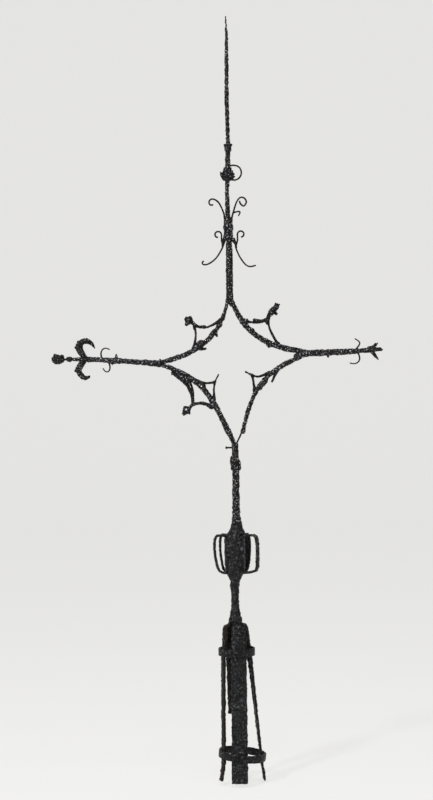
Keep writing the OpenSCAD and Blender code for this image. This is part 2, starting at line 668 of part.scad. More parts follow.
// The socket leans a little: its axis runs through the middles of the two hoops
lean = atan2(hoop_low_x - hoop_top_x, hoop_top_z - hoop_low_z);
module leaning() translate([hoop_top_x, 0, hoop_top_z]) rotate([0, -lean, 0])
  translate([0, 0, -hoop_top_z]) children();

// Middle line of a strap, seen from the side: [from the axis, height]. It leaves the
// underside of the neck, passes inside the two hoops and runs straight on to its end.
strap_root_r = neck_foot_r - strap_t / 2 - 0.6;
strap_over = 4;   // run past the neck's underside, where it is cut level
shoulder_r = hoop_top_d / 2 - 16.2;   // the straps' own radius under the neck
shoulder_l = 28;
function strap_line(top_in, low_in, end_z, kick) =
  let (splay = (low_in - top_in) / (hoop_top_z - hoop_low_z)) [
    [strap_root_r, shoulder_z + strap_over, 0],
    [strap_root_r, shoulder_z - 3, 0],
    [strap_root_r + 6, shoulder_z - 7, 0],
    [mix(strap_root_r, shoulder_r, 0.78), shoulder_z - 10, 0],
    [mix(strap_root_r, shoulder_r, 0.96), shoulder_z - 17, 0],
    [shoulder_r + 0.4, shoulder_z - shoulder_l, 0],
    [mix(shoulder_r, top_in, 0.45), hoop_top_z + hoop_h, 0],
    [top_in, hoop_top_z, 0],
    [low_in, hoop_low_z, 0],
    [low_in + splay * hoop_h, hoop_low_z - hoop_h, 0],
    [low_in + splay * (hoop_low_z - end_z) + kick, end_z, 0]
  ];

// A strap, bent to the round of the post and turned to its place round the socket.
// face is its outline, seen from outside. Its free end stands out by kick.
module strap(turn, top_in, low_in, end_z, face, kick = 0) color(iron) difference() {
  leaning() rotate([0, 0, turn]) intersection() {
    rotate([0, 0, -90]) rotate_extrude(angle = 180, $fn = fine)
      let (line = strap_line(top_in, low_in, end_z, kick))
        polygon(concat(side_of(line, strap_t / 2), turned_back(side_of(line, -strap_t / 2))));
    rotate([90, 0, 90]) linear_extrude(hoop_low_d) polygon(face);
  }
  translate([0, 0, shoulder_z - joint_gap + strap_w]) cube(2 * strap_w, center = true);
}
// Outline of a strap: narrow under the neck, then full width, then drawn to its end.
// It runs aside by aside.x at its shoulder, aside.y at the upper hoop and aside.z at its end.
function strap_face(root_w, w, hoop_w, end_w, end_z, aside = [0, 0, 0]) =
  let (half = mix(root_w, w, 0.6) / 2, up = shoulder_z - shoulder_l) [
    [-root_w / 2, shoulder_z + strap_over], [root_w / 2, shoulder_z + strap_over],
    [root_w / 2, shoulder_z - 5], [half, shoulder_z - 12], [aside.x + w / 2, up],
    [aside.y + hoop_w / 2, hoop_top_z], [aside.z + end_w / 2, end_z - 1],
    [aside.z - end_w / 2, end_z - 1], [aside.y - hoop_w / 2, hoop_top_z],
    [aside.x - w / 2, up], [-half, shoulder_z - 12], [-root_w / 2, shoulder_z - 5]
  ];
// The back strap has rusted through, and ends in a ragged break
function broken_face(root_w, w, end_z) =
  let (half = mix(root_w, w, 0.6) / 2) [
    [-root_w / 2, shoulder_z + strap_over], [root_w / 2, shoulder_z + strap_over],
    [root_w / 2, shoulder_z - 5], [half, shoulder_z - 12], [w / 2, shoulder_z - shoulder_l],
    [w / 2, end_z + 2], [w * 0.25, end_z], [w * 0.1, end_z + 12], [-w * 0.1, end_z + 6],
    [-w * 0.3, end_z + 19], [-w / 2, end_z + 11],
    [-w / 2, shoulder_z - shoulder_l], [-half, shoulder_z - 12], [-root_w / 2, shoulder_z - 5]
  ];
// Distance of a strap's middle from the axis, where it lies against the inside of a hoop.
// A splayed strap touches only one edge of the hoop.
splay_room = 0.6;
upper_seat = hoop_top_d / 2 - hoop_t - strap_t / 2 - joint_gap - splay_room;
lower_seat = hoop_low_d / 2 - hoop_t - strap_t / 2 - joint_gap - splay_room;
low_hoop_tilt = 8.5;
tilt_room = hoop_h / 2 * sin(low_hoop_tilt) + 0.4;
front_root_w = 16;
side_root_w = 13;
module strap_front() strap(-80, upper_seat, lower_seat, 6,
  strap_face(front_root_w, strap_w, strap_w, strap_w, 8, [3.4, -0.7, -19.6]));
module strap_left() strap(198, upper_seat - 1.5, lower_seat - tilt_room, 9,
  strap_face(side_root_w, strap_w * 0.8, strap_w * 0.63, strap_w * 0.52, 11), 7);
module strap_right() strap(16, upper_seat - 4, lower_seat - 5, 0,
  strap_face(side_root_w, strap_w * 0.9, strap_w * 0.8, strap_w * 0.5, 1, [2, 0, -10]), 3);
module strap_back() strap(105, upper_seat, lower_seat, back_break_z - 2,
  broken_face(side_root_w, strap_w, back_break_z));

module hoop(d, z, tilt) color(iron) leaning() translate([0, 0, z]) rotate([0, tilt, 0]) difference() {
  cylinder(d = d, h = hoop_h, center = true, $fn = fine);
  cylinder(d = d - 2 * hoop_t, h = 2 * hoop_h, center = true, $fn = fine);
}
module hoop_upper() hoop(hoop_top_d, hoop_top_z, 2.5);
module hoop_lower() hoop(hoop_low_d, hoop_low_z, low_hoop_tilt);

mast();
mast_knop();
mast_flower();
mast_loop();
scroll_binding();
mast_scroll_upper_left();
mast_scroll_upper_right();
mast_scroll_lower_left();
mast_scroll_lower_right();
mast_curl_left();
mast_curl_right();
mast_twig();
bar_upper_left();
bar_upper_right();
bar_lower_left();
bar_lower_right();
bar_link();
tendril_upper_left_inner();
tendril_upper_left_outer();
bud_upper_left();
tendril_upper_right_inner();
tendril_upper_right_outer();
bud_upper_right();
tendril_lower_left_outer();
tendril_lower_left_inner();
bud_lower_left();
twig_lower_left_upper();
twig_lower_left_lower();
twig_lower_right_upper();
twig_lower_right_lower();
stub_lower_right();
stub_upper_left();
left_arm();
left_arm_scroll_upper();
left_arm_scroll_lower();
left_leaf_upper();
left_leaf_lower();
left_arm_bead();
left_end_bud();
right_arm();
right_arm_scroll_upper();
right_arm_scroll_lower();
right_flower();
shaft();
shaft_collar();
shaft_pin();
knob();
handle_left();
handle_back_left();
handle_back_right();
handle_right();
neck();
strap_front();
strap_left();
strap_right();
strap_back();
hoop_upper();
hoop_lower();
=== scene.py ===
"""The looks of an old wrought iron cross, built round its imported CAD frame. Metres, +Z up, front -Y."""
import math

import bmesh
import bpy
import numpy as np
from mathutils import Matrix, Vector
from mathutils.bvhtree import BVHTree


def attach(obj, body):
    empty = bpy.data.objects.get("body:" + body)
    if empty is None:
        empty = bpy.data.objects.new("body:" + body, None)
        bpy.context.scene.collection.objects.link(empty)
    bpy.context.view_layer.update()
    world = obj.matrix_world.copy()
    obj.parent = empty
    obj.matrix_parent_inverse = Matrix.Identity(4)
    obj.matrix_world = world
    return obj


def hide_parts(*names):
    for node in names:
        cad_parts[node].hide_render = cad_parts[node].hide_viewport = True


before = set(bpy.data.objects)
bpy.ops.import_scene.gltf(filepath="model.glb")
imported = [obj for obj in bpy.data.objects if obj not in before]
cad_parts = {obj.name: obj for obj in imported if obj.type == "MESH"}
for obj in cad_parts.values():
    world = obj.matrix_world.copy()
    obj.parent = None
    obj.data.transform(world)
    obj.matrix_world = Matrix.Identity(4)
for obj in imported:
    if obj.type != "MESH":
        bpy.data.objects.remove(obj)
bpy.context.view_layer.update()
MM = 0.001


# ---------------------------------------------------------------- noise, in millimetres
def hashed(ix, iy, iz, seed):
    """A fixed pseudo-random number from 0 to 1 for each whole-number cell."""
    h = (ix.astype(np.int64) * 374761393 + iy.astype(np.int64) * 668265263
         + iz.astype(np.int64) * 2147483647 + seed * 1274126177) & 0xFFFFFFFF
    h = ((h ^ (h >> 13)) * 1274126177) & 0xFFFFFFFF
    h = ((h ^ (h >> 15)) * 2246822519) & 0xFFFFFFFF
    return ((h ^ (h >> 16)) & 0xFFFFFF) / float(0xFFFFFF)


def value_noise(p, size, seed):
    """Smooth noise from -1 to 1 with features about size across."""
    q = p / size
    cell = np.floor(q).astype(np.int64)
    f = q - cell
    f = f * f * f * (f * (f * 6 - 15) + 10)
    out = np.zeros(len(p))
    for dx in (0, 1):
        for dy in (0, 1):
            for dz in (0, 1):
                w = ((f[:, 0] if dx else 1 - f[:, 0]) * (f[:, 1] if dy else 1 - f[:, 1])
                     * (f[:, 2] if dz else 1 - f[:, 2]))
                out += w * hashed(cell[:, 0] + dx, cell[:, 1] + dy, cell[:, 2] + dz, seed)
    return out * 2 - 1


def layered_noise(p, size, seed, octaves=3):
    total, weight = np.zeros(len(p)), 0.0
    for k in range(octaves):
        total += value_noise(p + 17.3 * k, size / 2 ** k, seed + 11 * k) / 2 ** k
        weight += 1 / 2 ** k
    return total / weight


def cells(p, size, seed):
    """Distances to the nearest two scattered points, in cells, and the nearest one's own number."""
    q = p / size
    base = np.floor(q).astype(np.int64)
    near = np.full(len(p), 9.0)
    second = np.full(len(p), 9.0)
    own = np.zeros(len(p))
    for dx in (-1, 0, 1):
        for dy in (-1, 0, 1):
            for dz in (-1, 0, 1):
                c = base + (dx, dy, dz)
                at = np.stack([c[:, k] + hashed(c[:, 0], c[:, 1], c[:, 2], seed + 31 * (k + 1))
                               for k in range(3)], 1)
                d = np.linalg.norm(at - q, axis=1)
                closer = d < near
                second = np.where(closer, near, np.minimum(second, d))
                own = np.where(closer, hashed(c[:, 0], c[:, 1], c[:, 2], seed + 7), own)
                near = np.where(closer, d, near)
    return near, second, own


# ---------------------------------------------------------------- meshes
def co_of(mesh):
    co = np.empty(len(mesh.vertices) * 3)
    mesh.vertices.foreach_get("co", co)
    return co.reshape(-1, 3)


def set_co(mesh, co):
    mesh.vertices.foreach_set("co", co.astype(np.float32).ravel())
    mesh.update()


def normals_of(mesh):
    n = np.empty(len(mesh.vertices) * 3)
    mesh.vertex_normals.foreach_get("vector", n)
    return n.reshape(-1, 3)


def edges_of(mesh):
    e = np.empty(len(mesh.edges) * 2, np.int32)
    mesh.edges.foreach_get("vertices", e)
    return e.reshape(-1, 2)


def spread(values, edges, rounds, strength=0.5):
    """Averages values, or points, with their neighbours along the edges."""
    n = len(values)
    a, b = edges[:, 0], edges[:, 1]
    count = np.maximum(np.bincount(a, minlength=n) + np.bincount(b, minlength=n), 1)
    flat = values.reshape(n, -1)
    for _ in range(rounds):
        mean = np.stack([np.bincount(a, flat[b, k], n) + np.bincount(b, flat[a, k], n)
                         for k in range(flat.shape[1])], 1) / count[:, None]
        flat = flat + strength * (mean - flat)
    return flat.reshape(values.shape)


def blob(bm, a, b, ra, rb):
    """Adds a rounded bar from a to b, in millimetres, whose radius goes from ra to rb."""
    a, b = Vector(a) * MM, Vector(b) * MM
    axis = b - a
    length = axis.length
    rings, sides = 10, 14
    spin = axis.to_track_quat("Z", "Y").to_matrix() if length > 1e-7 else Matrix.Identity(3)
    levels = []
    for i in range(rings + 1):
        t = math.pi * i / rings
        end = ra if i <= rings / 2 else rb
        z = -math.cos(t) * end * MM + (0 if i <= rings / 2 else length)
        levels.append((z, math.sin(t) * end * MM))
    middle = rings // 2
    levels[middle + 1:middle + 1] = [(0 if length < 1e-7 else length, rb * MM)]
    made = []
    for z, r in levels[1:-1]:
        row = []
        for k in range(sides):
            s = 2 * math.pi * k / sides
            v = Vector((math.cos(s) * r, math.sin(s) * r, z))
            row.append(bm.verts.new(a + spin @ v))
        made.append(row)
    first = bm.verts.new(a + spin @ Vector((0, 0, levels[0][0])))
    last = bm.verts.new(a + spin @ Vector((0, 0, levels[-1][0])))
    for r0, r1 in zip(made, made[1:]):
        for k in range(sides):
            bm.faces.new((r0[k], r0[(k + 1) % sides], r1[(k + 1) % sides], r1[k]))
    for k in range(sides):
        bm.faces.new((first, made[0][(k + 1) % sides], made[0][k]))
        bm.faces.new((last, made[-1][k], made[-1][(k + 1) % sides]))


def chain(bm, points, radii):
    """A bent rounded bar through points, in millimetres."""
    for (a, b), (ra, rb) in zip(zip(points, points[1:]), zip(radii, radii[1:])):
        blob(bm, a, b, ra, rb)


def remeshed(bm, name, voxel):
    """Joins all closed bodies in bm into one skin with a mesh size of voxel millimetres."""
    mesh = bpy.data.meshes.new(name)
    bm.to_mesh(mesh)
    bm.free()
    obj = bpy.data.objects.new(name, mesh)
    bpy.context.scene.collection.objects.link(obj)
    mod = obj.modifiers.new("skin", "REMESH")
    mod.mode = "VOXEL"
    mod.voxel_size = voxel * MM
    evaluated = obj.evaluated_get(bpy.context.evaluated_depsgraph_get())
    done = bpy.data.meshes.new_from_object(evaluated)
    obj.modifiers.clear()
    obj.data = done
    bpy.data.meshes.remove(mesh)
    done.name = name
    return obj


def store(mesh, name, values):
    layer = mesh.attributes.new(name, "FLOAT", "POINT")
    layer.data.foreach_set("value", values.astype(np.float32))


# ---------------------------------------------------------------- iron
def node_of(tree, kind, **settings):
    n = tree.nodes.new(kind)
    for key, value in settings.items():
        setattr(n, key, value)
    return n


def ramp(tree, stops):
    n = tree.nodes.new("ShaderNodeValToRGB")
    while len(n.color_ramp.elements) < len(stops):
        n.color_ramp.elements.new(0.5)
    for e, (pos, colour) in zip(n.color_ramp.elements, stops):
        e.position = pos
        e.color = (*colour, 1)
    return n


def iron(name, paint, bare_and_glint, rubbed_glint_low, rust, rust_low, rust_high, gloss_low, gloss_high,
         mark_scale=300, mark_detail=4, mark_width=0.2, ridge_share=0.2):
    """Old black paint over pitted iron, rusty in some hollows, with light specks on the ridges that are
    partly rubbed bare metal and partly painted glints.
    """
    mat = bpy.data.materials.new(name)
    mat.use_nodes = True
    t = mat.node_tree
    t.nodes.clear()
    link = t.links.new
    out = node_of(t, "ShaderNodeOutputMaterial")
    bsdf = node_of(t, "ShaderNodeBsdfPrincipled")
    link(bsdf.outputs["BSDF"], out.inputs["Surface"])
    place = node_of(t, "ShaderNodeTexCoord")

    def noise(scale, detail, roughness):
        n = node_of(t, "ShaderNodeTexNoise")
        n.inputs["Scale"].default_value = scale
        n.inputs["Detail"].default_value = detail
        n.inputs["Roughness"].default_value = roughness
        link(place.outputs["Object"], n.inputs["Vector"])
        return n.outputs["Fac"]

    def sums(a, factor, b):
        n = node_of(t, "ShaderNodeMath", operation="MULTIPLY_ADD")
        n.inputs[1].default_value = factor
        link(a, n.inputs[0])
        if isinstance(b, float):
            n.inputs[2].default_value = b
        else:
            link(b, n.inputs[2])
        return n.outputs[0]

    def spans(value, low, high, to_low=0.0, to_high=1.0):
        n = node_of(t, "ShaderNodeMapRange")
        limits = zip(("From Min", "From Max", "To Min", "To Max"), (low, high, to_low, to_high))
        for socket, number in limits:
            n.inputs[socket].default_value = number
        link(value, n.inputs["Value"])
        return n.outputs["Result"]

    def mixed(factor, a, b):
        n = node_of(t, "ShaderNodeMix", data_type="RGBA")
        link(factor, n.inputs["Factor"])
        link(a, n.inputs["A"])
        link(b, n.inputs["B"])
        return n.outputs["Result"]

    def toned(value, stops):
        n = ramp(t, stops)
        link(value, n.inputs["Fac"])
        return n.outputs["Color"]

    fine, broad, speck = noise(190, 5, 0.6), noise(34, 4, 0.5), noise(mark_scale, mark_detail, 0.6)
    grain = node_of(t, "ShaderNodeTexVoronoi")
    grain.inputs["Scale"].default_value = 420
    link(place.outputs["Object"], grain.inputs["Vector"])
    hollow = node_of(t, "ShaderNodeAttribute", attribute_name="hollow").outputs["Fac"]
    painted_glint = node_of(t, "ShaderNodeAttribute", attribute_name="painted_glint").outputs["Fac"]
    stain = node_of(t, "ShaderNodeAttribute", attribute_name="rust").outputs["Fac"]

    deep = sums(hollow, 0.2, sums(fine, 0.65, sums(broad, 0.35, 0.0)))
    rusty = spans(sums(stain, 0.3, deep), rust_low, rust_high)
    # Light specks: partly bare metal rubbed on ridges and speckled at random, partly painted glints of the
    # lamps and sky.
    ridge = spans(sums(hollow, -ridge_share, sums(speck, 0.9, 0.0)), rubbed_glint_low, rubbed_glint_low + mark_width)
    rubbed_and_glint = node_of(t, "ShaderNodeMath", operation="MAXIMUM")
    link(ridge, rubbed_and_glint.inputs[0])
    # The painted glint spots are added to the light specks.
    link(spans(painted_glint, 0.15, 0.8), rubbed_and_glint.inputs[1])
    coat = toned(sums(speck, 0.7, sums(broad, 0.3, 0.0)), [(0.38, paint[0]), (0.62, paint[1])])
    # The bare colour is partly painted glint: pale blue-white on the rods, low-contrast painted relief
    # light and shade on the socket.
    bare_and_glint_tone = toned(fine, [(0.35, bare_and_glint[0]), (0.7, bare_and_glint[1])])
    oxide = toned(fine, [(0.35, rust[0]), (0.7, rust[1])])
    link(mixed(rusty, mixed(rubbed_and_glint.outputs[0], coat, bare_and_glint_tone), oxide), bsdf.inputs["Base Color"])
    dull = spans(deep, 0.35, 0.7, gloss_low, gloss_high)
    link(sums(rubbed_and_glint.outputs[0], -0.1, dull), bsdf.inputs["Roughness"])
    bump = node_of(t, "ShaderNodeBump")
    bump.inputs["Strength"].default_value = 0.8
    bump.inputs["Distance"].default_value = 0.0009
    link(fine, bump.inputs["Height"])
    pits = node_of(t, "ShaderNodeBump")
    pits.inputs["Strength"].default_value = 0.5
    pits.inputs["Distance"].default_value = 0.0005
    link(grain.outputs["Distance"], pits.inputs["Height"])
    link(bump.outputs["Normal"], pits.inputs["Normal"])
    link(pits.outputs["Normal"], bsdf.inputs["Normal"])
    link(spans(rubbed_and_glint.outputs[0], 0.0, 1.0, 0.15, 1.0), bsdf.inputs["Specular IOR Level"])
    return mat


RUST = ((0.022, 0.011, 0.007), (0.080, 0.034, 0.017))
STAIN = ((0.008, 0.0055, 0.004), (0.026, 0.015, 0.010))
# The bare colours paint glints: pale blue-white on the black rods, dim mottled relief light and shade on
# the socket iron.
BLACK = iron("black_iron", ((0.0014, 0.0013, 0.0014), (0.0090, 0.0080, 0.0074)),
             ((0.24, 0.25, 0.28), (0.78, 0.81, 0.86)), 0.56, RUST, 0.64, 0.78, 0.24, 0.48)
DULL = iron("pitted_black_iron", ((0.0006, 0.0006, 0.0008), (0.0210, 0.0208, 0.0215)),
            ((0.045, 0.046, 0.049), (0.16, 0.163, 0.17)), 0.5, STAIN, 0.64, 0.8, 0.34, 0.6,
            mark_scale=150, mark_detail=6, mark_width=0.34, ridge_share=0.08)
# A brown-grey copy of the socket iron, painted as lit from the left, for the left strap.
BROWN = iron("lit_left_strap_iron", ((0.0040, 0.0027, 0.0020), (0.020, 0.0138, 0.0098)),
             ((0.030, 0.026, 0.023), (0.085, 0.075, 0.066)), 0.56, STAIN, 0.5, 0.75, 0.4, 0.66,
             mark_scale=150, mark_detail=6, mark_width=0.34, ridge_share=0.06)
WORN = iron("worn_iron", ((0.0036, 0.003, 0.0028), (0.010, 0.008, 0.007)),
            ((0.03, 0.026, 0.024), (0.08, 0.07, 0.062)), 0.66, RUST, 0.56, 0.74, 0.34, 0.6)


# ---------------------------------------------------------------- pieces
ROOT = "root"
# Extra closed bodies that are joined to a piece before its skin is made: weld lumps, nubs, petals and tips.
# Each is a row of (x, y, z, radius), in millimetres.
EXTRAS = {
    "mast": (
        ((-2, 0, 1292, 8.8), (-0.6, 0, 1274, 8), (0.8, 0, 1264, 5)),
        ((2, 0, 1944, 3.5), (6, -0.5, 1946, 1.6)),
    ),
    "left_arm": (
        ((-191, 0, 1113, 7.5), (-190.9, 0, 1119, 3.6), (-190.8, -1, 1123.5, 2.8)),
        ((-306, 0, 1131, 4), (-306, -1, 1139, 2)),
        ((-316, 0, 1120, 4), (-317, -1, 1113, 2)),
        ((-186, 0, 1112, 6), (-180, 0, 1111, 4.5)),
    ),
    "right_arm": (
        ((200, 0, 1131, 8.5), (183, 0, 1129, 7.8), (168, 0, 1126, 5)),
        ((255, 0, 1129, 5), (255, -1, 1120.5, 2.4)),
    ),
    "bar_upper_left": (
        ((-53, 0, 1185.5, 6.6), (-43, 0, 1195, 6.4)),
        ((-42, 0, 1190, 5), (-38, -1, 1182, 2.8)),
        ((-31, 0, 1210, 6), (-27.5, -1, 1214, 5.2)),
        ((-92, 0, 1159, 7), (-80, 0, 1167, 6.6)),
    ),
    "bar_upper_right": (
        ((98, 0, 1157, 7), (99, -1, 1151, 3.4)),
        ((56, 0, 1196, 6), (51, -1, 1191.5, 2.8)),
        ((40, 0, 1219, 7.4), (37, -1, 1214, 5.2)),
    ),
    "bar_lower_left": (
        ((-168, 0, 1104, 6.6), (-150, 0, 1094, 6.8), (-128, 0, 1080, 7.2), (-100, 0, 1065, 8),
         (-78, 0, 1050, 8)),
        ((-156, 0, 1092, 3.6), (-160, -1, 1081, 1.9)),
        ((-142, 0, 1082, 6), (-124, 0, 1068, 6.5), (-115, 0, 1061, 4.6)),
    ),
    "bar_lower_right": (
        ((28, 0, 935, 5), (26, -1, 928, 6.6)),
        ((112, 0, 1085, 6), (116, -1, 1078, 2.8)),
        ((88, 0, 1061.5, 6.6), (72, 0, 1042, 6)),
    ),
    "tendril_lower_left_outer": (
        ((-158, 0, 1087, 3.4), (-136, 0, 1071, 5), (-118, 0, 1053, 4.6), (-108.5, 0, 1030, 3.9),
         (-105.5, 0, 1008, 3.4)),
    ),
    "tendril_lower_left_inner": (
        ((-57, 0, 993.5, 5.2), (-70, 0, 1002.5, 4.8), (-83, 0, 1005.5, 4.3), (-97, 0, 1004.5, 3.8),
         (-106, 0, 1001.5, 3.6)),
    ),
    "tendril_upper_left_inner": (
        ((-97, 0, 1213.5, 3.6), (-84, 0, 1207, 3.7), (-70, 0, 1208.5, 3.9)),
    ),
    "tendril_upper_left_outer": (
        ((-97.5, 0, 1203, 3.1), (-97, 0, 1213, 3.1)),
    ),
    "tendril_upper_right_inner": (
        ((62, 0, 1223, 4.2), (80, 0, 1219.5, 3.9), (95, 0, 1224, 4.2)),
    ),
    "tendril_upper_right_outer": (
        ((96, 0, 1213, 3.6), (98.5, 0, 1225, 3.8)),
    ),
    "bud_upper_left": (
        ((-94.6, 0, 1212.5, 3.6), (-101, 0, 1217.5, 4.6), (-108, 0, 1222, 6.5)),
        ((-112, -1, 1223, 8), (-117.5, -2, 1231.5, 4.4)),
        ((-110, -1, 1223, 8), (-107.5, -2, 1232, 4.6)),
        ((-112, -1, 1223, 8), (-118, -2, 1214.5, 4.6)),
        ((-121.5, -2, 1227, 2.2), (-123.5, -2, 1229.5, 1.4)),
    ),
    "bud_upper_right": (
        ((92, 0, 1218, 3.8), (100, 0, 1232, 5.6), (108, -1, 1244, 8.6), (114, -1, 1250, 8.2)),
        ((114, -1, 1250, 6), (122, -2, 1259, 7.6)),
        ((121, -2, 1262, 3), (118.5, -2, 1266, 2.2)),
        ((124, -2, 1262, 3), (128.5, -2, 1262.5, 2.4)),
        ((113, 0, 1245, 6), (120, -2, 1238, 4.2)),
    ),
    "bud_lower_left": (
        ((-104.6, 0, 1004.5, 3.8), (-112.4, 0, 995.5, 4.4), (-118, -1, 990, 7)),
        ((-122, -1, 987, 9.4), (-121, -2, 986, 9.4)),
        ((-125.5, -3, 980.5, 5), (-131.5, -4, 974, 1.6)),
        ((-117, -3, 984, 5), (-114.8, -4, 979.5, 3.6)),
        ((-125, -3, 992, 4), (-128.5, -3, 996, 2.6)),
    ),
    "left_end_bud": (
        ((-459, 0, 1131, 10), (-467, -1, 1138, 5.6), (-468.8, -2, 1142.6, 2)),
        ((-459, 0, 1131, 10), (-467, -1, 1124, 5.6), (-468.4, -2, 1118.5, 2)),
        ((-462, 0, 1129, 8), (-474, -2, 1127, 2.4)),
        ((-450, 0, 1136, 5.4), (-450, 0, 1126, 5.6)),
    ),
    "left_arm_bead": (
        ((-434, 0, 1128.8, 5), (-427, 0, 1128.8, 4.6)),
    ),
    "left_leaf_upper": (
        ((-401, 0, 1146, 7), (-406, -1, 1149, 4.4)),
        ((-406, 0, 1158, 7), (-411.5, -1, 1159.5, 4.6)),
        ((-401, 0, 1170, 7), (-405, -1, 1173, 5)),
        ((-384, 0, 1178, 5.4), (-383, -1, 1180, 4.4)),
        ((-390, -4, 1131, 6), (-396, -5, 1142, 5.4), (-399, -4, 1152, 4)),
    ),
    "left_leaf_lower": (
        ((-400, 0, 1113, 6.4), (-405, -1, 1114, 4.4)),
        ((-407, 0, 1099, 7), (-413, -1, 1098, 4.8)),
        ((-402, 0, 1090, 7), (-405, -1, 1087.5, 5)),
        ((-397, 0, 1083, 6.4), (-399, -1, 1080, 4.6)),
        ((-396, 0, 1081, 6), (-388, -1, 1077.5, 5.4), (-380, -1, 1080, 4.2), (-377.5, -1, 1082.5, 3)),
    ),
    "right_flower": (
        ((366, 0, 1141, 6.4), (378, -3, 1146, 4.8), (387, -4, 1155, 1.6)),
        ((372, -4, 1137, 6.4), (384, -6, 1138.5, 4), (393, -7, 1141, 3.2), (399, -6, 1137, 1.7)),
        ((372, -2, 1132, 5.6), (381.5, 2, 1121.5, 4), (388, 4, 1112.5, 1.6)),
    ),
    "mast_flower": (
        ((-4, -5, 1603, 6), (-14, -7, 1602.5, 5), (-18.6, -8, 1608.5, 2.8), (-20.5, -8, 1616.5, 1.2)),
        ((-4, -5, 1600, 5), (-12, -7, 1596.5, 3.4)),
        ((4, -6, 1606, 5.6), (10, -8, 1612, 4), (12.5, -9, 1618.5, 1.3)),
        ((5, -6, 1602, 6), (16, -7, 1603, 2.8)),
        ((2, -7, 1598, 5), (11.5, -7, 1597, 3.2)),
    ),
    "mast_scroll_lower_left": (
        ((-13, 0, 1448, 2.2), (-15.5, 0, 1436, 3.0), (-18, 0, 1420, 2.8)),
    ),
    "mast_scroll_lower_right": (
        ((12.5, 0, 1440, 2.4), (15.5, 0, 1430, 3.0), (17.5, 0, 1416, 2.8)),
    ),
    "strap_right": (
        ((5, -4, 421, 5), (13, -6, 416, 6), (21, -6, 407, 5)),
    ),
    "neck": (
        ((-4, 0, 526, 12.8), (-4, 0, 512, 11.2), (-4, 0, 497, 10)),
    ),
    "shaft_collar": (
        ((2, -6, 846, 8), (8, -6, 852, 6.5)),
        ((-2, -5, 858, 7.5), (-3, -5, 850, 7)),
    ),
}
# Painted glints and rust stains on a piece: (x, y, z, radius, kind), in millimetres. A glint spot paints
# the iron lighter and glossier where a highlight falls.
SPOTS = {
    "knob": ((17, -20, 619, 6, "painted_glint"), (19, -16, 600, 3.5, "painted_glint")),
    "bar_lower_right": ((25, -6, 926, 4.5, "rust"),),
    "strap_front": ((-3, -60, 26, 4, "rust"),),
    "right_flower": ((386, 2, 1114, 11, "rust"), (397, -6, 1139, 5, "rust")),
    "tendril_upper_left_outer": ((-97, 0, 1188, 16, "rust"),),
    "bud_lower_left": ((-130, -5, 975, 3.5, "rust"), (-123, -9, 989, 3.2, "painted_glint")),
}
# Where a skin leans from one height to another, in millimetres: (low, high, shift along X).
LEANS = {"knob": (650, 664, 6)}


def shrinkage(co, source):
    """How far the skin lies outside the CAD solid, on average, in millimetres."""
    verts = [v.co for v in source.vertices]
    tree = BVHTree.FromPolygons(verts, [p.vertices for p in source.polygons])
    total = []
    for point in co[::max(1, len(co) // 700)]:
        where, normal, _, dist = tree.find_nearest(Vector(point))
        if dist < 1.5 * MM:
            total.append(dist / MM if (Vector(point) - where).dot(normal) > 0 else -dist / MM)
    return float(np.mean(total)) if total else 0.0


def beside(node, co, reach):
    """How near each point comes to the other pieces: 1 on them, 0 at reach millimetres and more."""
    low, high = co.min(0) - reach * MM, co.max(0) + reach * MM
    verts, faces = [], []
    for other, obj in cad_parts.items():
        own = co_of(obj.data)
        if other == node or (own.min(0) > high).any() or (own.max(0) < low).any():
            continue
        base = len(verts)
        verts.extend(map(Vector, own))
        faces.extend([base + k for k in p.vertices] for p in obj.data.polygons)
    if not faces:
        return np.zeros(len(co))
    tree = BVHTree.FromPolygons(verts, faces)
    found = (tree.find_nearest(Vector(point), reach * MM)[3] for point in co)
    dist = np.array([reach if d is None else d / MM for d in found])
    return np.clip(1 - dist / reach, 0, 1)


WAVE_SIZE, LUMP_SIZE = 22, 5.5  # across the broad waves and the small lumps, in millimetres
PIT_WIDTH = 0.55  # a pit's radius, as a share of its cell
PIT_SPARED = 0.45  # the share of cells that hold no pit
HOLLOW_DEPTH = 0.35  # how deep a full hollow is, in millimetres


